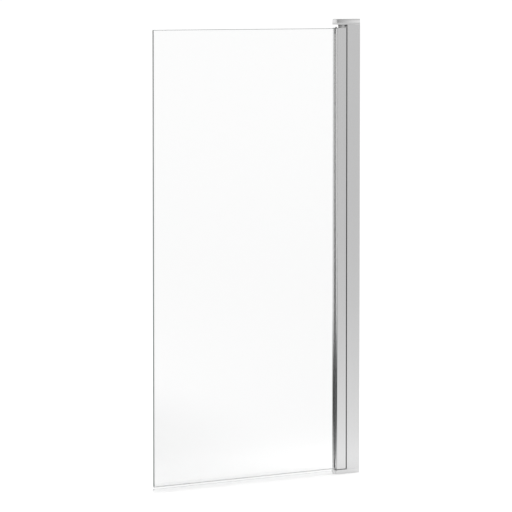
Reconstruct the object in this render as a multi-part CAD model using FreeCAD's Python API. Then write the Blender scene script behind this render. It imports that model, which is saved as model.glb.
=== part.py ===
"""Hinged bath screen: one clear glass panel that swings on a wall-fixed upright and rises as it opens.

Millimetres and degrees. The wall is the plane x = 0 and the screen reaches away from it towards -X.
-Y is the room side, +Y is the bath side, and z = 0 is the bath rim that the screen stands over.
"""
import FreeCAD, Part
import math
import os

from FreeCAD import Vector

os.makedirs("parts", exist_ok=True)

# ---------------------------------------------------------------- whole screen
screen_width = 800.0             # wall to the free edge of the glass
screen_height = 1400.0           # bath rim to the top of the top cap
glass_thickness = 5.0
swing_angle = 90.0               # outward swing, from closed
swing_lift = 6.0                 # rise of the panel over that swing

# ---------------------------------------------------------------- uprights
profile_depth = 25.0             # front to back, the same for both uprights
skin = 1.6                       # wall of the aluminium extrusions
corner_radius = 0.8
wall_profile_width = 51.9
pivot_profile_width = 35.5
meeting_gap = 4.0                # between the two uprights on the front face
axis_inset = 9.7                 # pivot axis, in from the pivot upright's corners
profile_wall_gap = 0.4           # wall profile stands this far off the wall

# ---------------------------------------------------------------- wall fixing
channel_reach = 30.0             # depth of the U-channel from the wall
channel_wall = 2.0
telescope_clearance = 0.3        # channel inside the wall profile
channel_top_gap = 4.0            # channel ends this far below the wall profile
wall_hole_radius = 2.6
wall_hole_outer_spacing = 1200.0
wall_hole_inner_spacing = 400.0
cross_web_inset = 4.0            # web of the wall profile, clear of the channel's edge

fixing_screw_inset = 16.0        # from the wall
fixing_screw_end_inset = 120.0   # from both ends of the wall profile
fixing_screw_radius = 1.9
fixing_screw_length = 7.0
fixing_head_radius = 3.6
fixing_head_height = 2.2
thread_clearance = 0.05
shank_clearance = 0.2
cover_cap_radius = 5.4
cover_cap_height = 3.2
cover_cap_wall = 0.7

# ---------------------------------------------------------------- vertical gap seal
nose_wall = 2.6                  # concave wall of the wall profile, thick enough for the seal grooves
gap_seal_angle = 32.0            # place of each seal round the pivot axis
gap_seal_stem = 1.4
gap_seal_head = 2.4
gap_seal_head_depth = 0.7
gap_seal_neck_depth = 0.7
gap_seal_bulb_radius = 1.1
gap_seal_play = 0.12             # bulb to the turning upright
groove_clearance = 0.05

# ---------------------------------------------------------------- glass slot
slot_depth = 14.8
glass_end_gap = 1.0              # glass edge to the slot's floor
front_gasket = 0.5               # thin strip that the glass is pressed against
rear_gasket = 2.0                # wedge gasket pushed in behind the glass
gasket_play = 0.05
front_lip_reach = 2.0            # lips of the gaskets, out of the slot along the glass
rear_lip_reach = 1.0
front_lip_width = 1.2            # and sideways from the glass
rear_lip_width = 3.2
gasket_lip_rounding = 0.6
gasket_top_stop = 17.5           # gaskets end this far below the upright's top
gasket_bottom_stop = 28.5        # and this far above its bottom
rest_pad_height = 0.8
rest_pad_leg = 24.5              # leg of the pad up the slot, behind the glass
glass_top_drop = 0.2             # glass below the upright's top end
arris = 0.6                      # ground corner along the glass edges

# ---------------------------------------------------------------- ends of the uprights
bottom_cap_height = 13.0
top_cap_height = 17.2
cap_seam = 0.3                   # cap edge to the wall profile's end
bottom_gap = 2.5                 # bottom cap to the moving panel, at rest
top_gap = 9.8                    # moving panel to the top cap, at rest
end_plate = 1.0                  # visible flange of each plug
end_plate_inset = 0.2

cap_overhang_end = 0.8
cap_overhang_side = 0.8
cap_wall = 1.5
cap_roof = 2.0
cap_floor = 1.6
cap_edge_radius = 1.0
cap_rim_radius = 0.7
cap_bow = 0.6                    # front and back of the caps bulge this much along their length
cap_fit = 0.2                    # brackets inside the caps
cap_peg_radius = 1.5
cap_peg_fit = 0.05
cap_peg_x_offset = 14.0          # from the pivot axis, towards the wall
cap_peg_y = 9.0

# ---------------------------------------------------------------- brackets
bracket_plate = 5.0
cup_wall = 1.2
cup_floor = 2.4
bracket_rib = 6.0
port_inset = 6.5                 # screw ports of the wall profile, from its cross web
port_edge = 5.5                  # and from its front and back faces
port_radius = 1.9
port_boss_radius = 4.0
bracket_screw_radius = 1.85
bracket_screw_length = 22.0
bracket_head_radius = 3.6
bracket_head_height = 2.4

# ---------------------------------------------------------------- screws of every kind
head_rounding = 0.3              # share of a head's height
socket_share = 0.45              # hexagon socket, as a share of the head's radius
socket_floor_share = 0.4         # and its floor, as a share of the head's height
same_place = 0.01                # points nearer than this are one corner

# ---------------------------------------------------------------- pivots
pin_radius = 3.0
running_clearance = 0.05
pin_depth = 30.0                 # of each pin inside its plug
plug_length = 32.0
plug_fit = 0.15
barrel_radius = 10.0             # round neck of each plug, reaching into the bracket's cup
cup_clearance = 0.4
barrel_overlap = 1.0             # barrel inside the top cup, at rest
barrel_headroom = 0.5            # barrel to the cup's roof, panel raised
bush_wall = 1.8
bush_reach = 14.2                # bush below the cup's roof
bush_bore_length = 4.0
bush_head_radius = 7.0
bush_head_height = 1.6
bush_play = 0.1
bush_chamber_clearance = 0.2
drive_flat = 2.2                 # flat on the upper pin, from its axis
upper_pin_below_bush_top = 6.0
plug_screw_radius = 1.3
plug_screw_length = 14.0
plug_port_inset = 11.4           # screw ports of the pivot profile, from its glass side
plug_port_boss_radius = 3.3      # wide enough to join the slot wall to the outer wall
top_head_radius = 2.75
top_head_height = 3.0
bottom_head_radius = 2.5
bottom_head_height = 1.5

# ---------------------------------------------------------------- rising cam
cam_base = 1.6
cam_track_inner = 4.6
cam_track_outer = 8.7
cam_foot_angle = 30.0            # span of each follower foot
cam_run_out = 3.0                # ramp past the foot at full swing
cam_play = 0.06
cam_rest_turn = 20.0             # where the first ramp starts round the axis
follower_skirt_clearance = 0.2
follower_disc = 1.2
follower_skirt_floor_gap = 0.5   # skirt to the cam's base, at rest
spigot_radius = 4.8
spigot_length = 10.5
spigot_flat = 4.2
spigot_fit = 0.05

# ---------------------------------------------------------------- bottom seal
seal_rim_gap = 0.7               # lip to the bath rim, at rest
seal_wall = 0.9
seal_grip = 10.0                 # legs up the glass
seal_fit = 0.05
seal_lip = 1.0
seal_fin_root = 5.5              # fin leaves the lip this far below the base
seal_fin_reach = 5.5
seal_fin_drop = 6.0
seal_free_end_inset = 0.5
seal_profile_gap = 1.6
seal_swing_clearance = 0.7

# ---------------------------------------------------------------- worked out from the above
half_depth = profile_depth / 2
half_glass = glass_thickness / 2

wall_profile_right = -profile_wall_gap
wall_profile_left = wall_profile_right - wall_profile_width
pivot_profile_right = wall_profile_left - meeting_gap
pivot_profile_left = pivot_profile_right - pivot_profile_width
axis_x = pivot_profile_right - axis_inset
nose_radius = math.hypot(axis_inset, half_depth)
hollow_radius = math.hypot(axis_inset + meeting_gap, half_depth)
slot_floor = pivot_profile_left + slot_depth
plug_port_x = pivot_profile_left + plug_port_inset

bottom_cap_top = bottom_cap_height
wall_profile_bottom = bottom_cap_top + cap_seam
panel_bottom = bottom_cap_top + bottom_gap
pivot_profile_bottom = panel_bottom + end_plate
top_cap_bottom = screen_height - top_cap_height
wall_profile_top = top_cap_bottom - cap_seam
panel_top = top_cap_bottom - top_gap
pivot_profile_top = panel_top - end_plate

channel_half = half_depth - skin - telescope_clearance
channel_top = wall_profile_top - channel_top_gap
cross_web_right = -channel_reach - cross_web_inset
cross_web_left = cross_web_right - skin
port_x = cross_web_left - port_inset
port_y = half_depth - port_edge

cap_left = pivot_profile_left - cap_overhang_end
cap_half = half_depth + cap_overhang_side
bracket_half = cap_half - cap_wall - cap_fit
cup_radius = barrel_radius + cup_clearance
boss_radius = cup_radius + cup_wall
cap_peg_x = axis_x + cap_peg_x_offset

barrel_top = wall_profile_top + barrel_overlap
top_cup_roof = barrel_top + swing_lift + barrel_headroom
bush_outer = pin_radius + running_clearance + bush_wall
bush_seat = top_cup_roof + bush_bore_length
bush_bottom = top_cup_roof - bush_reach
bush_chamber_radius = bush_outer + bush_chamber_clearance
bush_chamber_floor = bush_bottom - swing_lift - bush_play
upper_pin_top = bush_seat - upper_pin_below_bush_top
upper_pin_bottom = pivot_profile_top - pin_depth

bottom_cup_floor = cap_floor + cap_fit + cup_floor
lower_pin_top = pivot_profile_bottom + pin_depth
cam_track_bottom = bottom_cup_floor + cam_base
cam_pitch = swing_lift * 360.0 / swing_angle
cam_ramp_angle = cam_foot_angle + swing_angle + cam_run_out
follower_disc_bottom = panel_bottom - follower_disc

seal_base_bottom = pivot_profile_bottom + rest_pad_height - seal_fit - seal_wall
cap_corner_reach = math.hypot(axis_x - cap_left, cap_half)


# ---------------------------------------------------------------- shapes that several pieces use
def block(x0, x1, y0, y1, z0, z1):
    return Part.makeBox(x1 - x0, y1 - y0, z1 - z0, Vector(x0, y0, z0))


def rod(radius, z0, z1, x=axis_x, y=0.0):
    return Part.makeCylinder(radius, z1 - z0, Vector(x, y, z0))


def upright_edges(solid, x, y):
    """Vertical edges of the solid that stand at (x, y)."""
    found = []
    for edge in solid.Edges:
        ends = [vertex.Point for vertex in edge.Vertexes]
        if all(math.hypot(end.x - x, end.y - y) < same_place for end in ends):
            found.append(edge)
    return found


def rounded_uprights(solid, radius, places):
    edges = [edge for place in places for edge in upright_edges(solid, *place)]
    return solid.makeFillet(radius, edges)


def level_edges(solid, z, y_reach):
    """Straight edges that lie at height z along the outer faces y = -y_reach and y = +y_reach."""
    found = []
    for edge in solid.Edges:
        ends = [vertex.Point for vertex in edge.Vertexes]
        if all(abs(end.z - z) < same_place and abs(abs(end.y) - y_reach) < same_place for end in ends):
            if abs(ends[0].y - ends[-1].y) < same_place:
                found.append(edge)
    return found


def top_rim(solid, height):
    """The edge round the flat top of an upright cylinder."""
    return [edge for edge in solid.Edges if abs(edge.BoundBox.ZMin - height) < same_place]


def screw(head_radius, head_height, shank_radius, length):
    """Button-headed screw on the Z axis: head above z = 0, shank below, hexagon socket in the head."""
    head = Part.makeCylinder(head_radius, head_height)
    head = head.makeFillet(head_height * head_rounding, top_rim(head, head_height))
    shank = Part.makeCylinder(shank_radius, length, Vector(0, 0, -length))
    socket_radius = head_radius * socket_share
    socket_floor = head_height * socket_floor_share
    corners = []
    for corner in range(7):
        turn = math.radians(60 * corner)
        corners.append(Vector(socket_radius * math.cos(turn), socket_radius * math.sin(turn), socket_floor))
    socket = Part.Face(Part.makePolygon(corners)).extrude(Vector(0, 0, head_height))
    return head.fuse(shank).removeSplitter().cut(socket)


def placed(shape, base, direction=Vector(0, 0, 1)):
    """A copy of the shape moved to base, with its +Z axis turned to the direction."""
    copy = shape.copy()
    copy.Placement = FreeCAD.Placement(base, FreeCAD.Rotation(Vector(0, 0, 1), direction))
    return copy


def nose(radius, half, z0, z1):
    """The stretch of a round bar about the pivot axis on its wall side, between y = -half and y = +half."""
    return rod(radius, z0, z1).common(block(axis_x, axis_x + radius, -half, half, z0, z1))


# ---------------------------------------------------------------- fixed to the wall
def fixing_screw_heights():
    low = wall_profile_bottom + fixing_screw_end_inset
    high = wall_profile_top - fixing_screw_end_inset
    return [low, (low + high) / 2, high]


def cross_hole(radius, z):
    """Hole for a fixing screw, through the back walls only."""
    return Part.makeCylinder(radius, half_depth, Vector(-fixing_screw_inset, 0, z), Vector(0, 1, 0))


def wall_channel():
    channel = block(-channel_reach, 0, -channel_half, channel_half, 0, channel_top)
    inside = channel_half - channel_wall
    channel = channel.cut(block(-channel_reach, -channel_wall, -inside, inside, 0, channel_top))
    middle = (wall_profile_bottom + wall_profile_top) / 2
    for spacing in (wall_hole_outer_spacing, wall_hole_inner_spacing):
        for side in (-1, 1):
            start = Vector(-channel_wall, 0, middle + side * spacing / 2)
            channel = channel.cut(Part.makeCylinder(wall_hole_radius, channel_wall, start, Vector(1, 0, 0)))
    for z in fixing_screw_heights():
        channel = channel.cut(cross_hole(fixing_screw_radius + thread_clearance, z))
    return channel


def gap_seal_section(z0, z1, clearance):
    """T-shaped foot of a gap seal, grown by the clearance where it cuts its groove."""
    stem = gap_seal_stem / 2 + clearance
    head = gap_seal_head / 2 + clearance
    neck_end = hollow_radius + gap_seal_neck_depth
    head_end = neck_end + gap_seal_head_depth
    foot = block(nose_radius + gap_seal_play + gap_seal_bulb_radius, neck_end, -stem, stem, z0, z1)
    return foot.fuse(block(neck_end - clearance, head_end + clearance, -head, head, z0, z1))


def turned_to_seal(shape, side):
    """Move a shape drawn about the Z axis to the pivot axis, turned to the front or back seal."""
    copy = shape.copy()
    copy.rotate(Vector(0, 0, 0), Vector(0, 0, 1), side * gap_seal_angle)
    copy.translate(Vector(axis_x, 0, 0))
    return copy


def wall_profile():
    z0, z1 = wall_profile_bottom, wall_profile_top
    inside = half_depth - skin
    profile = block(wall_profile_left, wall_profile_right, -half_depth, half_depth, z0, z1)
    profile = profile.cut(rod(hollow_radius, z0, z1))
    slot = block(cross_web_right, wall_profile_right, -inside, inside, z0, z1)
    chamber = block(wall_profile_left, cross_web_left, -inside, inside, z0, z1)
    chamber = chamber.cut(rod(hollow_radius + nose_wall, z0, z1))
    envelope = profile
    profile = profile.cut(slot).cut(chamber)
    for side in (-1, 1):
        boss = rod(port_boss_radius, z0, z1, port_x, side * port_y).common(envelope)
        profile = profile.fuse(boss)
    profile = profile.removeSplitter()
    for side in (-1, 1):
        profile = profile.cut(rod(port_radius, z0, z1, port_x, side * port_y))
        profile = profile.cut(turned_to_seal(gap_seal_section(z0, z1, groove_clearance), side))
    for z in fixing_screw_heights():
        profile = profile.cut(cross_hole(fixing_screw_radius + shank_clearance, z))
    corners = [(wall_profile_right, side * half_depth) for side in (-1, 1)]
    return rounded_uprights(profile, corner_radius, corners)


def gap_seal(side):
    z0, z1 = pivot_profile_bottom, pivot_profile_top
    bulb_centre = nose_radius + gap_seal_play + gap_seal_bulb_radius
    bulb = Part.makeCylinder(gap_seal_bulb_radius, z1 - z0, Vector(bulb_centre, 0, z0))
    return turned_to_seal(gap_seal_section(z0, z1, 0.0).fuse(bulb).removeSplitter(), side)


def profile_fixing_screws():
    one = screw(fixing_head_radius, fixing_head_height, fixing_screw_radius, fixing_screw_length)
    outward = Vector(0, 1, 0)
    return [placed(one, Vector(-fixing_screw_inset, half_depth, z), outward) for z in fixing_screw_heights()]


def screw_cover_caps():
    cap = Part.makeCylinder(cover_cap_radius, cover_cap_height)
    cap = cap.makeFillet(cover_cap_wall, top_rim(cap, cover_cap_height))
    cap = cap.cut(Part.makeCylinder(cover_cap_radius - cover_cap_wall, cover_cap_height - cover_cap_wall))
    outward = Vector(0, 1, 0)
    return [placed(cap, Vector(-fixing_screw_inset, half_depth, z), outward) for z in fixing_screw_heights()]


# ---------------------------------------------------------------- brackets and caps
def bracket_plate_with_holes(z0, z1):
    """Flat arm of a bracket, screwed to the wall profile's end and drilled for screws and cap pegs."""
    plate = block(axis_x, cross_web_right, -bracket_half, bracket_half, z0, z1)
    for side in (-1, 1):
        plate = plate.cut(rod(bracket_screw_radius + thread_clearance, z0, z1, port_x, side * port_y))
        plate = plate.cut(rod(cap_peg_radius + cap_peg_fit, z0, z1, cap_peg_x, side * cap_peg_y))
    return plate


def top_bracket():
    z0 = wall_profile_top
    bracket = bracket_plate_with_holes(z0, z0 + bracket_plate)
    rib = block(axis_x, port_x, -bracket_rib / 2, bracket_rib / 2, z0, bush_seat)
    bracket = bracket.fuse(rod(boss_radius, z0, bush_seat)).fuse(rib).removeSplitter()
    bracket = bracket.cut(rod(cup_radius, z0, top_cup_roof))
    return bracket.cut(rod(bush_outer + running_clearance, top_cup_roof, bush_seat))


def bottom_bracket():
    z1 = wall_profile_bottom
    z0 = cap_floor + cap_fit
    bracket = bracket_plate_with_holes(z1 - bracket_plate, z1)
    rib = block(axis_x, port_x, -bracket_rib / 2, bracket_rib / 2, z0, z1)
    bracket = bracket.fuse(rod(boss_radius, z0, z1)).fuse(rib).removeSplitter()
    bracket = bracket.cut(rod(cup_radius, bottom_cup_floor, z1))
    return bracket.cut(rod(pin_radius, z0, bottom_cup_floor))


def bracket_screws(z, direction):
    one = screw(bracket_head_radius, bracket_head_height, bracket_screw_radius, bracket_screw_length)
    return [placed(one, Vector(port_x, side * port_y, z), direction) for side in (-1, 1)]


def top_bracket_screws():
    return bracket_screws(wall_profile_top + bracket_plate, Vector(0, 0, 1))


def bottom_bracket_screws():
    return bracket_screws(wall_profile_bottom - bracket_plate, Vector(0, 0, -1))


def cap_outside(z0, z1, outer_z):
    """Outside shape of a cap: slightly bowed front and back, rounded end corners and a rounded outer rim."""
    right = wall_profile_right
    middle = (cap_left + right) / 2
    end_half = cap_half - cap_bow
    front = [Vector(cap_left, -end_half, z0), Vector(middle, -cap_half, z0), Vector(right, -end_half, z0)]
    back = [Vector(right, end_half, z0), Vector(middle, cap_half, z0), Vector(cap_left, end_half, z0)]
    sides = [
        Part.Arc(*front).toShape(),
        Part.LineSegment(front[-1], back[0]).toShape(),
        Part.Arc(*back).toShape(),
        Part.LineSegment(back[-1], front[0]).toShape(),
    ]
    cap = Part.Face(Part.Wire(sides)).extrude(Vector(0, 0, z1 - z0))
    cap = rounded_uprights(cap, cap_edge_radius, [(cap_left, -end_half), (cap_left, end_half)])
    rim = []
    for edge in cap.Edges:
        box = edge.BoundBox
        level = max(abs(box.ZMin - outer_z), abs(box.ZMax - outer_z)) < same_place
        if level and box.XMin < right - same_place:
            rim.append(edge)
    return cap.makeFillet(cap_rim_radius, rim)


def top_cap():
    inside = cap_half - cap_wall
    left, right = cap_left + cap_wall, wall_profile_right - cap_wall
    roof = screen_height - cap_roof
    cap = cap_outside(top_cap_bottom, screen_height, screen_height)
    cap = cap.cut(block(left, right, -inside, inside, top_cap_bottom, roof))
    for side in (-1, 1):
        cap = cap.fuse(rod(cap_peg_radius, wall_profile_top + cap_fit, roof, cap_peg_x, side * cap_peg_y))
    return cap.removeSplitter()


def bottom_cap():
    inside = cap_half - cap_wall
    cap = cap_outside(0.0, bottom_cap_top, 0.0)
    cap = cap.cut(block(cap_left + cap_wall, wall_profile_right, -inside, inside, cap_floor, bottom_cap_top))
    cap = cap.cut(block(cross_web_right, wall_profile_right, -inside, inside, 0, cap_floor))
    for side in (-1, 1):
        peg = rod(cap_peg_radius, cap_floor, wall_profile_bottom - cap_fit, cap_peg_x, side * cap_peg_y)
        cap = cap.fuse(peg)
    return cap.removeSplitter()


# ---------------------------------------------------------------- pivots
def flatted_bar(radius, flat, z0, z1):
    """Round bar about the pivot axis with one flat on its free-edge side."""
    bar = rod(radius, z0, z1)
    return bar.cut(block(axis_x - radius - flat, axis_x - flat, -radius, radius, z0, z1))


def pivot_bush():
    bush = rod(bush_outer, bush_bottom, bush_seat)
    bush = bush.fuse(rod(bush_head_radius, bush_seat, bush_seat + bush_head_height)).removeSplitter()
    bore = flatted_bar(pin_radius + running_clearance, drive_flat + running_clearance,
                       bush_bottom, bush_seat + bush_head_height)
    return bush.cut(bore)


def upper_pivot_pin():
    pin = rod(pin_radius, upper_pin_bottom, bush_chamber_floor)
    return pin.fuse(flatted_bar(pin_radius, drive_flat, bush_chamber_floor, upper_pin_top)).removeSplitter()


def lower_pivot_pin():
    return rod(pin_radius, cap_floor + cap_fit, lower_pin_top)


def helical_slab(inner, outer, z_low, z_high, turn, start_z):
    """Ramp about the pivot axis with the cam's pitch. Its section reaches from z_low to z_high."""
    path = Part.makeHelix(cam_pitch, cam_pitch * turn / 360.0, inner)
    section = Part.makePolygon([
        Vector(inner, 0, z_low),
        Vector(outer, 0, z_low),
        Vector(outer, 0, z_high),
        Vector(inner, 0, z_high),
        Vector(inner, 0, z_low),
    ])
    slab = Part.Wire(path).makePipeShell([section], True, True)
    slab.translate(Vector(axis_x, 0, start_z))
    return slab


def turned_pair(shape):
    """The shape and its twin half a turn round the pivot axis."""
    pair = []
    for angle in (cam_rest_turn, cam_rest_turn + 180):
        copy = shape.copy()
        copy.rotate(Vector(axis_x, 0, 0), Vector(0, 0, 1), angle)
        pair.append(copy)
    return pair


def fixed_cam():
    rise = cam_pitch * cam_ramp_angle / 360.0
    base = rod(cam_track_outer, bottom_cup_floor, cam_track_bottom)
    slab = helical_slab(cam_track_inner, cam_track_outer, -rise - cam_base, 0,
                        cam_ramp_angle, cam_track_bottom)
    ramp = slab.common(rod(boss_radius, bottom_cup_floor, cam_track_bottom + rise + cam_base))
    cam = base.fuse(turned_pair(ramp)).removeSplitter()
    return cam.cut(rod(pin_radius, bottom_cup_floor, cam_track_bottom))


def cam_follower():
    barrel_bottom = cam_track_bottom + follower_skirt_floor_gap
    cavity = cam_track_outer + follower_skirt_clearance
    barrel = rod(barrel_radius, barrel_bottom, panel_bottom)
    barrel = barrel.cut(rod(cavity, barrel_bottom, follower_disc_bottom))
    spigot = rod(spigot_radius, panel_bottom, panel_bottom + spigot_length)
    spigot = spigot.common(block(axis_x - spigot_flat, axis_x + spigot_flat, -spigot_radius, spigot_radius,
                                 panel_bottom, panel_bottom + spigot_length))
    tall = follower_disc_bottom - cam_track_bottom
    slab = helical_slab(cam_track_inner, cavity + follower_skirt_clearance, 0, tall + cam_base,
                        cam_foot_angle, cam_track_bottom + cam_play)
    foot = slab.common(rod(boss_radius, cam_track_bottom, follower_disc_bottom + follower_disc / 2))
    body = barrel.fuse([spigot] + turned_pair(foot)).removeSplitter()
    return body.cut(rod(pin_radius + running_clearance, cam_track_bottom, panel_bottom + spigot_length))


# ---------------------------------------------------------------- swinging panel
def slot_wall(side):
    """Distance of the slot's front or back wall from the glass panel's centre plane."""
    return half_glass + (front_gasket if side < 0 else rear_gasket)


def plug_screw_places():
    """Screw ports of the pivot upright, midway between the slot and the front and back faces."""
    return [(plug_port_x, side * (slot_wall(side) + half_depth) / 2) for side in (-1, 1)]


def pivot_outline(z0, z1, inset):
    """Outside shape of the pivot upright, drawn in by the inset."""
    half = half_depth - inset
    flat = block(pivot_profile_left + inset, axis_x, -half, half, z0, z1)
    outline = flat.fuse(nose(nose_radius - inset, half, z0, z1)).removeSplitter()
    corners = [(pivot_profile_left + inset, side * half) for side in (-1, 1)]
    return rounded_uprights(outline, corner_radius, corners)


def pivot_chamber(z0, z1, inset):
    """Inside shape of the pivot upright's wall-side chamber, drawn in by the inset."""
    half = half_depth - skin - inset
    flat = block(slot_floor + skin + inset, axis_x, -half, half, z0, z1)
    return flat.fuse(nose(nose_radius - skin - inset, half, z0, z1)).removeSplitter()


def pivot_profile():
    z0, z1 = pivot_profile_bottom, pivot_profile_top
    profile = pivot_outline(z0, z1, 0.0)
    profile = profile.cut(pivot_chamber(z0, z1, 0.0))
    profile = profile.cut(block(pivot_profile_left, slot_floor, -slot_wall(-1), slot_wall(1), z0, z1))
    for side, (x, y) in zip((-1, 1), plug_screw_places()):
        near, far = sorted((side * (slot_wall(side) + skin), side * (half_depth - skin)))
        chamber = block(pivot_profile_left + skin, slot_floor, near, far, z0, z1)
        profile = profile.cut(chamber.cut(rod(plug_port_boss_radius, z0, z1, x, y)))
        profile = profile.cut(rod(plug_screw_radius + thread_clearance, z0, z1, x, y))
    return profile


def glass_panel():
    z0 = pivot_profile_bottom + rest_pad_height
    z1 = pivot_profile_top - glass_top_drop
    glass = block(-screen_width, slot_floor - glass_end_gap, -half_glass, half_glass, z0, z1)
    edges = upright_edges(glass, -screen_width, -half_glass) + upright_edges(glass, -screen_width, half_glass)
    edges += level_edges(glass, z1, half_glass) + level_edges(glass, z0, half_glass)
    return glass.makeChamfer(arris, edges)


def glass_gasket(side, lip_reach, lip_width):
    """Strip between the glass and the slot's front or back wall, with a lip that covers the slot's edge."""
    z0 = pivot_profile_bottom + gasket_bottom_stop
    z1 = pivot_profile_top - gasket_top_stop
    inner = side * half_glass
    near, far = sorted((inner, side * (slot_wall(side) - gasket_play)))
    strip = block(pivot_profile_left, slot_floor - glass_end_gap, near, far, z0, z1)
    lip_left = pivot_profile_left - lip_reach
    lip_outer = side * (half_glass + lip_width)
    near, far = sorted((inner, lip_outer))
    lip = block(lip_left, pivot_profile_left, near, far, z0, z1)
    lip = rounded_uprights(lip, gasket_lip_rounding, [(lip_left, lip_outer)])
    return strip.fuse(lip).removeSplitter()


def glass_rest_pad():
    z0 = pivot_profile_bottom
    x0, x1 = pivot_profile_left + arris, slot_floor - glass_end_gap
    behind = slot_wall(1) - gasket_play
    pad = block(x0, x1, -half_glass + arris, behind, z0, z0 + rest_pad_height)
    return pad.fuse(block(x0, x1, half_glass, behind, z0, z0 + rest_pad_leg)).removeSplitter()


def drilled_for_plug_screws(plug, z0, z1):
    for x, y in plug_screw_places():
        plug = plug.cut(rod(plug_screw_radius + shank_clearance, z0, z1, x, y))
    return plug


def top_plug():
    plug = pivot_outline(pivot_profile_top, panel_top, end_plate_inset)
    plug = plug.fuse(pivot_chamber(pivot_profile_top - plug_length, pivot_profile_top, plug_fit))
    plug = plug.fuse(rod(barrel_radius, panel_top, barrel_top)).removeSplitter()
    plug = plug.cut(rod(bush_chamber_radius, bush_chamber_floor, barrel_top))
    plug = plug.cut(rod(pin_radius, upper_pin_bottom, bush_chamber_floor))
    return drilled_for_plug_screws(plug, pivot_profile_top, panel_top)


def bottom_plug():
    spigot_top = panel_bottom + spigot_length + spigot_fit
    plug = pivot_outline(panel_bottom, pivot_profile_bottom, end_plate_inset)
    body = pivot_chamber(pivot_profile_bottom, pivot_profile_bottom + plug_length, plug_fit)
    plug = plug.fuse(body).removeSplitter()
    radius = spigot_radius + spigot_fit
    flat = spigot_flat + spigot_fit
    socket = rod(radius, panel_bottom, spigot_top)
    socket = socket.common(block(axis_x - flat, axis_x + flat, -radius, radius, panel_bottom, spigot_top))
    plug = plug.cut(socket)
    plug = plug.cut(rod(pin_radius + running_clearance, panel_bottom, pivot_profile_bottom + plug_length))
    return drilled_for_plug_screws(plug, panel_bottom, pivot_profile_bottom)


def top_plug_screws():
    one = screw(top_head_radius, top_head_height, plug_screw_radius, plug_screw_length)
    return [placed(one, Vector(x, y, panel_top)) for x, y in plug_screw_places()]


def bottom_plug_screws():
    one = screw(bottom_head_radius, bottom_head_height, plug_screw_radius, plug_screw_length)
    down = Vector(0, 0, -1)
    return [placed(one, Vector(x, y, panel_bottom), down) for x, y in plug_screw_places()]


def seal_strip(points, x0, x1):
    """A strip along the glass whose section is the closed outline of (y, z) points."""
    outline = Part.makePolygon([Vector(x0, y, z) for y, z in points + points[:1]])
    return Part.Face(outline).extrude(Vector(x1 - x0, 0, 0))


def bottom_seal():
    x0 = -screen_width + seal_free_end_inset
    clip_end = pivot_profile_left - seal_profile_gap
    lip_end = axis_x - cap_corner_reach - seal_swing_clearance
    inner = half_glass + seal_fit
    outer = inner + seal_wall
    base_top = seal_base_bottom + seal_wall
    clip = block(x0, clip_end, -outer, outer, seal_base_bottom, base_top + seal_grip)
    clip = clip.cut(block(x0, clip_end, -inner, inner, base_top, base_top + seal_grip))
    half_lip = seal_lip / 2
    lip = block(x0, lip_end, -half_lip, half_lip, seal_rim_gap, seal_base_bottom)
    root = seal_base_bottom - seal_fin_root
    fin = seal_strip([
        (0, root),
        (seal_fin_reach, root - seal_fin_drop),
        (seal_fin_reach + seal_lip, root - seal_fin_drop),
        (half_lip, root + seal_lip),
        (0, root + seal_lip),
    ], x0, lip_end)
    return clip.fuse([lip, fin]).removeSplitter()


# ---------------------------------------------------------------- every piece, under its own name
pieces = {
    "wall_channel": wall_channel(),
    "wall_profile": wall_profile(),
    "front_gap_seal": gap_seal(-1),
    "rear_gap_seal": gap_seal(1),
    "profile_fixing_screws": profile_fixing_screws(),
    "screw_cover_caps": screw_cover_caps(),
    "top_bracket": top_bracket(),
    "top_bracket_screws": top_bracket_screws(),
    "top_cap": top_cap(),
    "pivot_bush": pivot_bush(),
    "bottom_bracket": bottom_bracket(),
    "bottom_bracket_screws": bottom_bracket_screws(),
    "bottom_cap": bottom_cap(),
    "lower_pivot_pin": lower_pivot_pin(),
    "fixed_cam": fixed_cam(),
    "pivot_profile": pivot_profile(),
    "glass_panel": glass_panel(),
    "front_glass_gasket": glass_gasket(-1, front_lip_reach, front_lip_width),
    "rear_glass_gasket": glass_gasket(1, rear_lip_reach, rear_lip_width),
    "glass_rest_pad": glass_rest_pad(),
    "top_plug": top_plug(),
    "top_plug_screws": top_plug_screws(),
    "upper_pivot_pin": upper_pivot_pin(),
    "bottom_plug": bottom_plug(),
    "bottom_plug_screws": bottom_plug_screws(),
    "cam_follower": cam_follower(),
    "bottom_seal": bottom_seal(),
}

for name, shape in pieces.items():
    solids = shape if isinstance(shape, list) else shape.Solids
    node = solids[0] if len(solids) == 1 else Part.makeCompound(solids)
    node.exportStep(f"parts/{name}.step")
    print(f"{name}: {len(solids)} solid(s), {node.Volume:.1f} mm3, valid {node.isValid()}")
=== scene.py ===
import math

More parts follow.
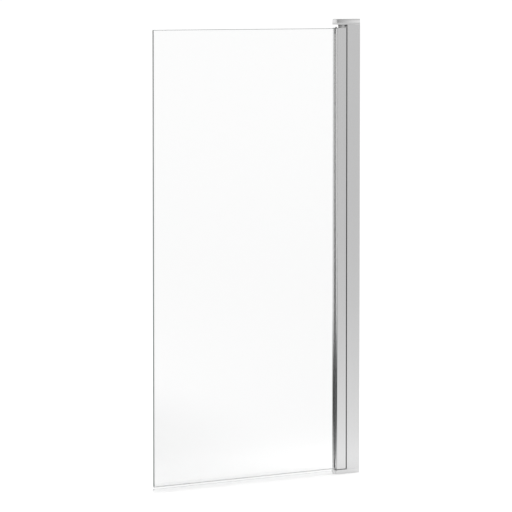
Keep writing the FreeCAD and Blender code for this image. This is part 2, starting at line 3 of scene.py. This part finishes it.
import bmesh
import bpy
from mathutils import Matrix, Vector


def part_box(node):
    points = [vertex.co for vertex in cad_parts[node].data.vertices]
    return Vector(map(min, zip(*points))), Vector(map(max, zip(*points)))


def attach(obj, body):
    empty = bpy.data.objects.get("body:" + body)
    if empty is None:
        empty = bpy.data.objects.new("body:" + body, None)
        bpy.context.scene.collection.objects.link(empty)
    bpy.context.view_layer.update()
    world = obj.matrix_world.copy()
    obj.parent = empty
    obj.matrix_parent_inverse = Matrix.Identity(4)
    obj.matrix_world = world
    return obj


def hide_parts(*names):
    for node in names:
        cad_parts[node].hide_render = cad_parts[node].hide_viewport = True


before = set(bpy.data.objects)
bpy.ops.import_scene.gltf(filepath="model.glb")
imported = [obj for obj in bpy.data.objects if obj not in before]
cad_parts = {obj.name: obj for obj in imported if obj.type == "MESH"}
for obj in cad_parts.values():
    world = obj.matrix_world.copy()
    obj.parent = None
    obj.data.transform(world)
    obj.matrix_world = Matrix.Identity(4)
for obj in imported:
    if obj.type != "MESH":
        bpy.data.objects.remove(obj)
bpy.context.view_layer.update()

# --------------------------------------------------------------------------------------------------
# The channel is screwed to the wall first and stands on the bath rim. It is an aluminium extrusion
# left as the press made it: dull, with drawn streaks along it. The wide upright hides most of it.
# --------------------------------------------------------------------------------------------------


class Term:
    """A value in a finish. Arithmetic on it adds Math nodes."""

    def __init__(self, finish, socket):
        self.finish = finish
        self.socket = socket

    def maths(self, operation, first, second):
        return self.finish.add("ShaderNodeMath", {"operation": operation}, {0: first, 1: second})

    def __add__(self, other):
        return self.maths("ADD", self, other)

    def __radd__(self, other):
        return self.maths("ADD", other, self)

    def __sub__(self, other):
        return self.maths("SUBTRACT", self, other)

    def __rsub__(self, other):
        return self.maths("SUBTRACT", other, self)

    def __mul__(self, other):
        return self.maths("MULTIPLY", self, other)

    def __rmul__(self, other):
        return self.maths("MULTIPLY", other, self)

    def __truediv__(self, other):
        return self.maths("DIVIDE", self, other)

    def __rtruediv__(self, other):
        return self.maths("DIVIDE", other, self)


class Finish:
    """The nodes of one procedural finish, or of the surround."""

    def __init__(self, owner):
        owner.use_nodes = True
        self.owner = owner
        self.tree = owner.node_tree

    def feed(self, socket, value):
        if isinstance(value, Term):
            self.tree.links.new(value.socket, socket)
        else:
            socket.default_value = value

    def add(self, kind, settings=None, inputs=None, output=0):
        """A node with its settings and the values or links of its sockets. Gives one output."""
        node = self.tree.nodes.new(kind)
        for name, value in (settings or {}).items():
            setattr(node, name, value)
        for name, value in (inputs or {}).items():
            self.feed(node.inputs[name], value)
        return Term(self, node.outputs[output])

    def surface(self, inputs):
        for name, value in inputs.items():
            self.feed(self.tree.nodes["Principled BSDF"].inputs[name], value)

    def noise(self, cells, detail=2.0, roughness=0.5):
        """Noise from 0 to 1, with so many cells to the metre along X, Y and Z."""
        place = self.add("ShaderNodeTexCoord", output="Object")
        scaled = self.add("ShaderNodeVectorMath", {"operation": "MULTIPLY"}, {0: place, 1: cells})
        inputs = {"Vector": scaled, "Scale": 1.0, "Detail": detail, "Roughness": roughness}
        return self.add("ShaderNodeTexNoise", inputs=inputs, output="Fac")

    def bump(self, height, depth, strength=1.0):
        inputs = {"Height": height, "Distance": depth, "Strength": strength}
        return self.add("ShaderNodeBump", inputs=inputs, output="Normal")

    def blend(self, factor, low, high):
        """A colour between two colours, each a link or three numbers."""
        ends = [end if isinstance(end, Term) else tuple(end) + (1.0,) for end in (low, high)]
        inputs = {0: factor, 6: ends[0], 7: ends[1]}
        return self.add("ShaderNodeMix", {"data_type": "RGBA"}, inputs, output=2)


def finish_of(name):
    return Finish(bpy.data.materials.new(name))


def dress(node, finish, rounding=0.0):
    """Give a piece of the frame its finish, and round its sharp edges by a radius in metres."""
    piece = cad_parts[node]
    piece.data.materials.clear()
    piece.data.materials.append(finish.owner)
    if rounding:
        weld = piece.modifiers.new("weld", "WELD")
        weld.merge_threshold = 1e-6
        bevel = piece.modifiers.new("edges", "BEVEL")
        bevel.width = rounding
        bevel.segments = 2
        bevel.limit_method = "ANGLE"
        bevel.angle_limit = math.radians(40)
        bevel.harden_normals = True


mill = finish_of("plain_extruded_aluminium")
streaks = mill.noise((900.0, 900.0, 2.5), detail=4.0, roughness=0.7)
oxide = mill.noise((40.0, 40.0, 40.0), detail=3.0)
mill.surface({
    "Base Color": mill.blend(oxide, (0.56, 0.56, 0.565), (0.66, 0.66, 0.665)),
    "Metallic": 1.0,
    "Roughness": 0.3 + 0.18 * streaks,
    "Normal": mill.bump(streaks, depth=0.00001),
})
dress("wall_channel", mill, rounding=0.0002)

# --------------------------------------------------------------------------------------------------
# The two uprights are aluminium extrusions, bright polished and clear anodised. The wide one slides
# over the channel, the narrow one turns beside it with the glass in its slot. Polishing leaves very
# fine lines along them, and handling leaves the faintest haze.
# --------------------------------------------------------------------------------------------------
polished = finish_of("polished_anodised_aluminium")
polish_lines = polished.noise((1400.0, 1400.0, 1.5), detail=3.0)
handling = polished.noise((14.0, 14.0, 5.0), detail=4.0, roughness=0.6)
polished.surface({
    "Base Color": polished.blend(handling, (0.735, 0.735, 0.738), (0.765, 0.765, 0.767)),
    "Metallic": 1.0,
    "Roughness": 0.09 + 0.05 * polish_lines + 0.03 * handling,
    "Normal": polished.bump(polish_lines, depth=0.000003, strength=0.6),
})
for node in ("wall_profile", "pivot_profile"):
    dress(node, polished, rounding=0.00025)

# --------------------------------------------------------------------------------------------------
# Two black rubber seals close the gap between the uprights. Each has a T-shaped foot in a groove of
# the wide upright and a round bulb that wipes the narrow one. The rubber is matt, with some bloom.
# --------------------------------------------------------------------------------------------------


def grey(level):
    """The colour that is this bright in red, green and blue."""
    return (level, level, level)


black_rubber = finish_of("matt_black_rubber")
bloom = black_rubber.noise((300.0, 300.0, 20.0), detail=4.0, roughness=0.6)
black_rubber.surface({
    "Base Color": black_rubber.blend(bloom, grey(0.008), grey(0.018)),
    "Roughness": 0.55 + 0.2 * bloom,
    "Normal": black_rubber.bump(bloom, depth=0.00001),
})
for node in ("front_gap_seal", "rear_gap_seal"):
    dress(node, black_rubber)

# --------------------------------------------------------------------------------------------------
# The brackets are tumbled zinc die castings, screwed to the ends of the wide upright. Each has a
# cup for the narrow upright's round neck.
# --------------------------------------------------------------------------------------------------
casting = finish_of("tumbled_zinc_casting")
grain = casting.noise((1200.0, 1200.0, 1200.0), detail=3.0, roughness=0.7)
stain = casting.noise((60.0, 60.0, 60.0), detail=4.0)
casting.surface({
    "Base Color": casting.blend(stain, (0.33, 0.33, 0.34), (0.45, 0.45, 0.46)),
    "Metallic": 1.0,
    "Roughness": 0.38 + 0.15 * grain,
    "Normal": casting.bump(grain, depth=0.00003),
})
for node in ("top_bracket", "bottom_bracket"):
    dress(node, casting, rounding=0.0003)

# --------------------------------------------------------------------------------------------------
# Pins and screws are turned stainless steel, with fine rings from the tool. The screws have button
# heads with a hexagon socket.
# --------------------------------------------------------------------------------------------------
turned = finish_of("turned_stainless_steel")
tool_rings = turned.noise((60.0, 60.0, 5000.0))
turned.surface({
    "Base Color": turned.blend(tool_rings, grey(0.5), (0.62, 0.62, 0.615)),
    "Metallic": 1.0,
    "Roughness": 0.2 + 0.12 * tool_rings,
    "Normal": turned.bump(tool_rings, depth=0.000006),
})
for node in ("upper_pivot_pin", "lower_pivot_pin", "profile_fixing_screws", "top_bracket_screws",
             "bottom_bracket_screws", "top_plug_screws", "bottom_plug_screws"):
    dress(node, turned, rounding=0.0001)

# --------------------------------------------------------------------------------------------------
# The end plugs of the narrow upright and the cam follower are light grey nylon, with the fine matt
# texture of a spark-eroded mould. The turning bush and the fixed cam are machined white acetal.
# --------------------------------------------------------------------------------------------------
nylon = finish_of("moulded_light_grey_nylon")
spark_texture = nylon.noise((2500.0, 2500.0, 2500.0))
flow = nylon.noise((70.0, 70.0, 70.0), detail=3.0)
nylon.surface({
    "Base Color": nylon.blend(flow, grey(0.55), grey(0.62)),
    "Roughness": 0.36 + 0.2 * spark_texture,
    "Normal": nylon.bump(spark_texture, depth=0.00002),
})
for node in ("top_plug", "bottom_plug", "cam_follower"):
    dress(node, nylon, rounding=0.0002)

acetal = finish_of("white_acetal")
cutter_marks = acetal.noise((200.0, 200.0, 3000.0))
acetal.surface({
    "Base Color": acetal.blend(cutter_marks, (0.74, 0.74, 0.72), (0.8, 0.8, 0.78)),
    "Roughness": 0.3 + 0.15 * cutter_marks,
    "Normal": acetal.bump(cutter_marks, depth=0.000008),
})
for node in ("pivot_bush", "fixed_cam"):
    dress(node, acetal, rounding=0.0002)

# --------------------------------------------------------------------------------------------------
# The pane is clear toughened float glass with the faintest wipe marks. Its edges are ground to a
# soft round and polished dull, so they read as a grey line. The bottom one, in the clear seal, is
# painted lighter: painted light from the seal.
# --------------------------------------------------------------------------------------------------
pane_edge_round = 0.0016
# Below these heights the edge's colour is painted lighter, as painted light from the clear seal.
painted_light_below, painted_light_gone_above = 0.019, 0.0205   # heights between which the seal's light leaves the edge
facing = 0.999                          # how squarely a face of the pane looks forward or back


def add_piece(name, form, finishes, crease=35.0):
    """A new object from a bmesh. Edges past the crease angle, if one is given, stay sharp."""
    mesh = bpy.data.meshes.new(name)
    bmesh.ops.recalc_face_normals(form, faces=form.faces)
    form.to_mesh(mesh)
    form.free()
    if crease:
        mesh.set_sharp_from_angle(angle=math.radians(crease))
    for finish in finishes:
        mesh.materials.append(finish.owner)
    piece = bpy.data.objects.new(name, mesh)
    bpy.context.scene.collection.objects.link(piece)
    return piece


glass_face = finish_of("clear_toughened_glass")
wipe_marks = glass_face.noise((3.0, 3.0, 1.2), detail=5.0, roughness=0.6)
glass_face.surface({
    "Base Color": (0.99, 0.992, 0.992, 1),
    "Roughness": 0.001 + 0.004 * wipe_marks,
    "IOR": 1.5,
    "Transmission Weight": 1.0,
})

ground_edge = finish_of("dull_polished_glass_edge")
wheel_marks = ground_edge.noise((500.0, 500.0, 500.0), detail=3.0)
edge_place = ground_edge.add("ShaderNodeTexCoord", output="Object")
edge_height = ground_edge.add("ShaderNodeSeparateXYZ", inputs={0: edge_place}, output="Z")
# Painted light: the edge's colour is lighter below a height, where the seal would light it.
painted_seal_span = {"Value": edge_height, "From Min": painted_light_gone_above, "From Max": painted_light_below}
painted_seal_light = ground_edge.add("ShaderNodeMapRange", inputs=painted_seal_span)
open_edge = ground_edge.blend(wheel_marks, (0.25, 0.27, 0.265), (0.33, 0.35, 0.345))
ground_edge.surface({
    "Base Color": ground_edge.blend(painted_seal_light, open_edge, (0.8, 0.81, 0.81)),
    "Roughness": 0.25 + 0.15 * wheel_marks,
    "IOR": 1.5,
    "Transmission Weight": 0.35,
    "Normal": ground_edge.bump(wheel_marks, depth=0.000005),
})

low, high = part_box("glass_panel")
form = bmesh.new()
bmesh.ops.create_cube(form, size=1.0)
for vertex in form.verts:
    for axis in range(3):
        vertex.co[axis] = high[axis] if vertex.co[axis] > 0 else low[axis]
bmesh.ops.bevel(form, geom=form.edges[:], offset=pane_edge_round, segments=4, profile=0.5,
                affect="EDGES")
form.normal_update()
for face in form.faces:
    broad = abs(face.normal.y) > facing
    face.material_index = 0 if broad else 1
    face.smooth = not broad
pane = add_piece("glass_pane", form, [glass_face, ground_edge], crease=None)
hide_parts("glass_panel")
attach(pane, "panel")

# --------------------------------------------------------------------------------------------------
# Two glazing beads hold the glass in its slot: a thin one in front and a thick one pushed in
# behind. Each is a vinyl extrusion with a silvered skin. The front one ends in a flat lip along the
# glass with softly rounded edges, the rear one in a fully rounded lip over the edge of the slot.
# --------------------------------------------------------------------------------------------------
silvered = finish_of("silvered_vinyl")
drag_lines = silvered.noise((800.0, 800.0, 4.0), detail=3.0)
silvered.surface({
    "Base Color": silvered.blend(drag_lines, grey(0.68), grey(0.75)),
    "Metallic": 1.0,
    "Roughness": 0.1 + 0.08 * drag_lines,
    "Normal": silvered.bump(drag_lines, depth=0.000002),
})
slot_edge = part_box("pivot_profile")[0].x
corner_steps = 8


def glazing_bead(name, node, side, strip, rounding):
    """Bead with a strip of the given thickness in the slot, and a lip with rounded corners."""
    low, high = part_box(node)
    inner, outer = (low.y, high.y) if side > 0 else (high.y, low.y)
    section = [(high.x, inner)]
    for centre, start in ((inner + side * rounding, 0.0), (outer - side * rounding, 0.5)):
        for step in range(corner_steps + 1):
            turn = math.pi * (start + 0.5 * step / corner_steps)
            across = centre - side * rounding * math.cos(turn)
            section.append((low.x + rounding * (1 - math.sin(turn)), across))
    lip_end = len(section) - 1
    slot_side = inner + side * strip
    section += [(slot_edge, outer), (slot_edge, slot_side), (high.x, slot_side)]
    form = bmesh.new()
    ends = [[form.verts.new((x, y, z)) for x, y in section] for z in (low.z, high.z)]
    for first in range(len(section)):
        second = (first + 1) % len(section)
        face = form.faces.new((ends[0][first], ends[0][second], ends[1][second], ends[1][first]))
        face.smooth = 1 <= first < lip_end
    form.faces.new(ends[0])
    form.faces.new(ends[1])
    bead = add_piece(name, form, [silvered])
    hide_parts(node)
    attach(bead, "panel")


glazing_bead("front_glazing_bead", "front_glass_gasket", -1, strip=0.00045, rounding=0.0003)
glazing_bead("rear_glazing_bead", "rear_glass_gasket", 1, strip=0.00195, rounding=0.00095)

# --------------------------------------------------------------------------------------------------
# The glass stands on a small pad of smooth grey rubber at the foot of the slot. The pad is moulded
# with a leg up the slot behind the glass, below the end of the rear bead.
# --------------------------------------------------------------------------------------------------
grey_rubber = finish_of("grey_glazing_rubber")
mould_grain = grey_rubber.noise((800.0, 800.0, 800.0), detail=3.0)
grey_rubber.surface({
    "Base Color": grey_rubber.blend(mould_grain, grey(0.16), grey(0.22)),
    "Roughness": 0.35 + 0.2 * mould_grain,
    "Normal": grey_rubber.bump(mould_grain, depth=0.00001),
})
dress("glass_rest_pad", grey_rubber)

# --------------------------------------------------------------------------------------------------
# The seal under the glass is one clear, flexible extrusion: a channel that grips the pane's edge, a
# lip that reaches down to the rim and a fin that throws the water back. Die lines run along it.
# --------------------------------------------------------------------------------------------------
clear_vinyl = finish_of("clear_flexible_vinyl")
die_lines = clear_vinyl.noise((4.0, 700.0, 700.0))
clear_vinyl.surface({
    "Base Color": (0.985, 0.987, 0.987, 1),
    "Roughness": 0.06 + 0.06 * die_lines,
    "IOR": 1.2,
    "Transmission Weight": 1.0,
})
dress("bottom_seal", clear_vinyl, rounding=0.00015)

# --------------------------------------------------------------------------------------------------
# The cap across the top of both uprights is a chromed moulding, held by two pegs in the bracket's
# holes. It is crowned a little every way, so its shine changes along it, and its rim is rounded.
# --------------------------------------------------------------------------------------------------
cap_bow = 0.0011          # how far the front and back bulge along the cap
cap_corner = 0.0013       # radius of the corners at the free end
cap_crown = 0.0007        # how far the sides draw in towards the rim
cap_rim = 0.0009          # radius of the edge round the closed face
cap_wall = 0.0013
widest_share = 0.3        # share of the height at which the sides are widest
peg_x, peg_y, peg_radius = -0.052, 0.009, 0.0015
bracket_gap = 0.0002

chrome = finish_of("chromed_moulding")
sink_ripple = chrome.noise((60.0, 60.0, 60.0), detail=1.0)
haze = chrome.noise((25.0, 25.0, 25.0), detail=4.0, roughness=0.65)
chrome.surface({
    "Base Color": chrome.blend(haze, (0.765, 0.765, 0.768), grey(0.8)),
    "Metallic": 1.0,
    "Roughness": 0.05 + 0.05 * haze,
    "Normal": chrome.bump(sink_ripple, depth=0.00003, strength=0.3),
})


def cap_outline(low, high, inset, wall_end):
    """Plan of a cap, drawn in by the insets: bowed front and back, rounded free end."""
    middle, reach = (low.x + high.x) / 2, (high.x - low.x) / 2

    def half_at(x):
        return high.y - inset - cap_bow * ((x - middle) / reach) ** 2

    start, end = low.x + inset + cap_corner, high.x - wall_end
    side_steps = 24
    run = [start + (end - start) * step / side_steps for step in range(side_steps, -1, -1)]
    side = [(x, half_at(x)) for x in run]
    for step in range(1, corner_steps + 1):
        turn = math.radians(90 * step / corner_steps)
        across = half_at(start) - cap_corner * (1 - math.cos(turn))
        side.append((start - cap_corner * math.sin(turn), across))
    return [(x, -y) for x, y in side] + [(x, y) for x, y in reversed(side)]


def crowned_cap(name, node, outward, floor, peg_end):
    """Shell of a cap in its node's box. `outward` is 1 with the closed face on top, else -1."""
    low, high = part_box(node)
    height = high.z - low.z
    start = low.z if outward > 0 else high.z
    form = bmesh.new()
    rings = []

    def ring(level, inset, wall_end=0.0):
        plan = cap_outline(low, high, inset, wall_end)
        rings.append([form.verts.new((x, y, start + outward * level)) for x, y in plan])

    def crown_at(level):
        return cap_crown * ((level / height - widest_share) / (1 - widest_share)) ** 2

    ring(height - floor, cap_wall, cap_wall)
    ring(0.0, cap_wall, cap_wall)
    height_steps, rim_steps = 8, 6
    shoulder = height - cap_rim
    for step in range(height_steps + 1):
        level = shoulder * step / height_steps
        ring(level, crown_at(level))
    for step in range(1, rim_steps + 1):
        turn = math.radians(90 * step / rim_steps)
        ring(shoulder + cap_rim * math.sin(turn),
             crown_at(shoulder) + cap_rim * (1 - math.cos(turn)))
    for lower, upper in zip(rings, rings[1:]):
        for first in range(len(lower)):
            second = (first + 1) % len(lower)
            form.faces.new((lower[first], lower[second], upper[second], upper[first]))
    form.faces.new(rings[0])
    form.faces.new(rings[-1])
    peg_length = abs(peg_end - (start + outward * (height - floor)))
    for side in (-1, 1):
        where = Matrix.Translation((peg_x, side * peg_y, peg_end + outward * peg_length / 2))
        bmesh.ops.create_cone(form, cap_ends=True, segments=24, radius1=peg_radius,
                              radius2=peg_radius, depth=peg_length, matrix=where)
    for face in form.faces:
        face.smooth = True
    cap = add_piece(name, form, [chrome])
    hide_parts(node)
    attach(cap, "wall_frame")
    return cap


crowned_cap("crowned_top_cap", "top_cap", 1, floor=0.002,
            peg_end=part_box("top_bracket")[0].z + bracket_gap)

# --------------------------------------------------------------------------------------------------
# The cap at the rim is its fellow, upside down. Its floor and its wall side are cut out for the
# channel and the wide upright's foot. The snap caps over the three fixing screws are chromed too.
# --------------------------------------------------------------------------------------------------
foot_cap = crowned_cap("crowned_bottom_cap", "bottom_cap", -1, floor=0.0016,
                       peg_end=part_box("bottom_bracket")[1].z - bracket_gap)
channel_room, side_left, beyond = 0.004, 0.0025, 0.005
opening_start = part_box("wall_channel")[0].x - channel_room
low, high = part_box("bottom_cap")
opening_half = high.y - side_left
form = bmesh.new()
bmesh.ops.create_cube(form, size=1.0)
for vertex in form.verts:
    x = high.x + beyond if vertex.co.x > 0 else opening_start
    z = high.z + beyond if vertex.co.z > 0 else low.z - beyond
    vertex.co = (x, math.copysign(opening_half, vertex.co.y), z)
cutter = add_piece("channel_opening", form, [])
opening = foot_cap.modifiers.new("opening", "BOOLEAN")
opening.object = cutter
opening.solver = "EXACT"
cut_cap = foot_cap.evaluated_get(bpy.context.evaluated_depsgraph_get())
cut_mesh = bpy.data.meshes.new_from_object(cut_cap)
foot_cap.modifiers.clear()
foot_cap.data = cut_mesh
bpy.data.objects.remove(cutter)
dress("screw_cover_caps", chrome, rounding=0.0002)

# --------------------------------------------------------------------------------------------------
# The studio floor is wide, white and level with the bath rim. The camera and the glass see it
# white with the screen's shadow, and through the glass with a painted faint grey band. Shiny metal
# sees it as it is lit, with painted reflections: lighter behind the screen, a painted dark cloth
# behind the screen, a painted dark carpet on the camera's side, and a painted glow at the foot and
# on a small painted white card beside the cap at the rim.
# --------------------------------------------------------------------------------------------------
floor_reach, floor_drop = 500.0, 0.0004
# The cloth and the carpet are dark patches painted on the floor, seen only in reflections.
painted_carpet_share = 0.85                                      # darkness, as a share of the cloth's
# Painted glow, seen only in reflections: the floor at the foot and a small painted card glow.
foot_centre, foot_reach, painted_foot_glow = (-0.07, 0.0, 0.0), 0.65, 0.8   # bright floor at the foot
painted_card_centre, painted_card_reach = (-0.125, 0.045, 0.0), 0.05
glass_share = 0.92                                       # of the white that shows through glass
# Painted shade: a faint grey band in the white that the glass shows.
painted_band_close, painted_band_far, painted_band_share = 0.4, 3.0, 0.75        # less of it between these distances

form = bmesh.new()
corners = [form.verts.new((x * floor_reach, y * floor_reach, -floor_drop))
           for x, y in ((-1, -1), (1, -1), (1, 1), (-1, 1))]
form.faces.new(corners)


def light_path(finish, output):
    return finish.add("ShaderNodeLightPath", output=output)


def mirrored(finish):
    """1 for light that a shiny surface has reflected, else 0."""
    bounces = light_path(finish, "Glossy Depth")
    return finish.add("ShaderNodeMath", {"operation": "MINIMUM"}, {0: bounces, 1: 1.0})


def seen_plainly(finish, through_glass):
    """1 for what the camera sees directly, a share of that through glass, 0 for the rest."""
    in_glass = through_glass * light_path(finish, "Is Transmission Ray")
    return (light_path(finish, "Is Camera Ray") + in_glass) * (1 - mirrored(finish))


def soft_step(finish, value, start, end):
    """0 where the value is at the start, 1 at the end, and smooth between."""
    inputs = {"Value": value, "From Min": start, "From Max": end}
    return finish.add("ShaderNodeMapRange", {"interpolation_type": "SMOOTHSTEP"}, inputs)


def measure(finish, operation, vector, fixed):
    """The number that a Vector Math node gives for a vector and a fixed one."""
    inputs = {0: vector, 1: fixed}
    return finish.add("ShaderNodeVectorMath", {"operation": operation}, inputs, output="Value")


def behind_screen(finish, direction):
    """1 in directions behind the screen, on the bath side, and 0 from beside it round the front."""
    return soft_step(finish, measure(finish, "DOT_PRODUCT", direction, (0.0, 1.0, 0.0)), 0.0, 0.6)


def near(distance, reach):
    """1 at no distance, fading away with it."""
    steps_away = distance / reach
    return 1 / (1 + steps_away * steps_away)


floor_paint = finish_of("white_floor")
floor_place = floor_paint.add("ShaderNodeTexCoord", output="Object")


def distance_from(point):
    return measure(floor_paint, "DISTANCE", floor_place, point)


def painted_on_floor(centre, core, reach):
    """1 on a round dark patch painted on the floor for reflections, fading to 0 at its reach."""
    return 1 - soft_step(floor_paint, distance_from(centre), core, reach)


# Painted reflections: the dark cloth behind the screen and the dark carpet on the camera's side.
painted_dark_cloth = painted_on_floor((-1.75, 2.0, 0.0), core=0.6, reach=3.4)
painted_dark_carpet = painted_on_floor((-5.2, -4.6, 0.0), core=6.2, reach=6.8)
clear = (1 - painted_dark_cloth) * (1 - painted_carpet_share * painted_dark_carpet)
# Painted glow in reflections, where no lamp is: at the foot of the screen and on the card.
painted_glow = (painted_foot_glow * clear * near(distance_from(foot_centre), foot_reach)
        + near(distance_from(painted_card_centre), painted_card_reach))
aside = floor_paint.add("ShaderNodeSeparateXYZ", inputs={0: floor_place}, output="Y")
# Painted shade: through the glass the floor is a little less white about 0.4 m to 3 m from the
# screen.
through_glass = glass_share - painted_band_share * (near(aside, painted_band_far) - near(aside, painted_band_close))
floor_direction = floor_paint.add("ShaderNodeVectorMath", {"operation": "NORMALIZE"},
                                  {0: floor_place})
behind = behind_screen(floor_paint, floor_direction)
# Painted reflection: in reflections the floor is lighter behind the screen.
painted_mirrored_white = floor_paint.blend(behind, grey(0.83), grey(0.95))
painted_mirrored_floor = floor_paint.blend(clear, grey(0.05), painted_mirrored_white)
# The floor shows plain white to the camera, and the painted glow in reflections.
white_and_painted_glow = seen_plainly(floor_paint, through_glass) + painted_glow * mirrored(floor_paint)
floor_paint.surface({
    "Base Color": floor_paint.blend(mirrored(floor_paint), grey(0.8), painted_mirrored_floor),
    "Roughness": 1.0,
    "Specular IOR Level": 0.0,
    "Emission Color": floor_paint.blend(white_and_painted_glow, grey(0.0), grey(1.0)),
    "Emission Strength": 0.36,
})
floor = add_piece("floor", form, [floor_paint])

# --------------------------------------------------------------------------------------------------
# The surround is a pale room. Seen plainly it is white. Reflections show a painted picture of it
# that lights nothing: bright right behind the camera, behind the bath screen and towards the wall,
# dim on both sides of the camera, where painted dark screens stand, and mid grey overhead, a
# painted ceiling. Matt pieces are lit by an even grey instead.
# --------------------------------------------------------------------------------------------------
upwards, towards_wall, towards_camera = (0.0, 0.0, 1.0), (0.77, 0.635, 0.0), (-0.638, -0.77, 0.0)
bright_start, bright_end, bright_spread = -0.2, 0.14, 0.12     # it spreads behind the screen
ceiling_start, ceiling_end, ceiling_lift = 0.02, 0.28, 0.08    # and the ceiling is higher there
lane_start, lane_end = 0.8, 0.93                               # bright lane behind the camera
# Greys of the painted reflection: dark screens, bright parts and the ceiling.
painted_dim_grey, painted_bright_grey, painted_ceiling_grey = 0.15, 0.98, 0.42
matt_light = 0.85                                              # what lights the matt pieces

scene = bpy.context.scene
surround = bpy.data.worlds.new("surround")
scene.world = surround
sky = Finish(surround)
heading = sky.add("ShaderNodeTexCoord", output="Generated")
behind = behind_screen(sky, heading)
to_wall = measure(sky, "DOT_PRODUCT", heading, towards_wall) + bright_spread * behind
to_ceiling = measure(sky, "DOT_PRODUCT", heading, upwards) - ceiling_lift * behind
to_camera = measure(sky, "DOT_PRODUCT", heading, towards_camera)
# Painted reflection: dim beside the camera, bright towards the wall, behind the screen and camera.
painted_dim_sides = sky.blend(soft_step(sky, to_wall, bright_start, bright_end),
                    grey(painted_dim_grey), grey(painted_bright_grey))
painted_low_reflection = sky.blend(soft_step(sky, to_camera, lane_start, lane_end), painted_dim_sides, grey(painted_bright_grey))
painted_reflection = sky.blend(soft_step(sky, to_ceiling, ceiling_start, ceiling_end),
                 painted_low_reflection, grey(painted_ceiling_grey))
in_mirror = mirrored(sky) * (1 - light_path(sky, "Is Diffuse Ray"))
lit = sky.blend(in_mirror, grey(matt_light), painted_reflection)
background = sky.tree.nodes["Background"]
sky.feed(background.inputs["Color"], sky.blend(seen_plainly(sky, glass_share), lit, grey(1.0)))
sky.feed(background.inputs["Strength"], 1.0)

# --------------------------------------------------------------------------------------------------
# One large soft lamp, 3 m square, hangs high over the screen. It makes a pool of light on the floor
# and gives the foot of the screen its soft shadow.
# --------------------------------------------------------------------------------------------------
lamp_data = bpy.data.lights.new("overhead", "AREA")
lamp_data.size = 3.0
lamp_data.energy = 100.0
lamp = bpy.data.objects.new("overhead", lamp_data)
lamp.location = (-0.4, -0.2, 6.0)
scene.collection.objects.link(lamp)

# --------------------------------------------------------------------------------------------------
# The camera has a long lens and stands about 12 m away on the free-edge side, a little above the
# top of the screen. It looks slightly down.
# --------------------------------------------------------------------------------------------------
look_down, turned_right = math.radians(3.976), math.radians(39.654)
view_data = bpy.data.cameras.new("camera")
view_data.sensor_width = 36.0
view_data.lens = 276.97
view_data.clip_end = 2000.0
camera = bpy.data.objects.new("camera", view_data)
camera.location = (-7.9748, -9.1323, 1.5121)
camera.rotation_euler = (math.radians(90) - look_down, 0.0, -turned_right)
scene.collection.objects.link(camera)
scene.camera = camera
scene.view_settings.view_transform = "Standard"
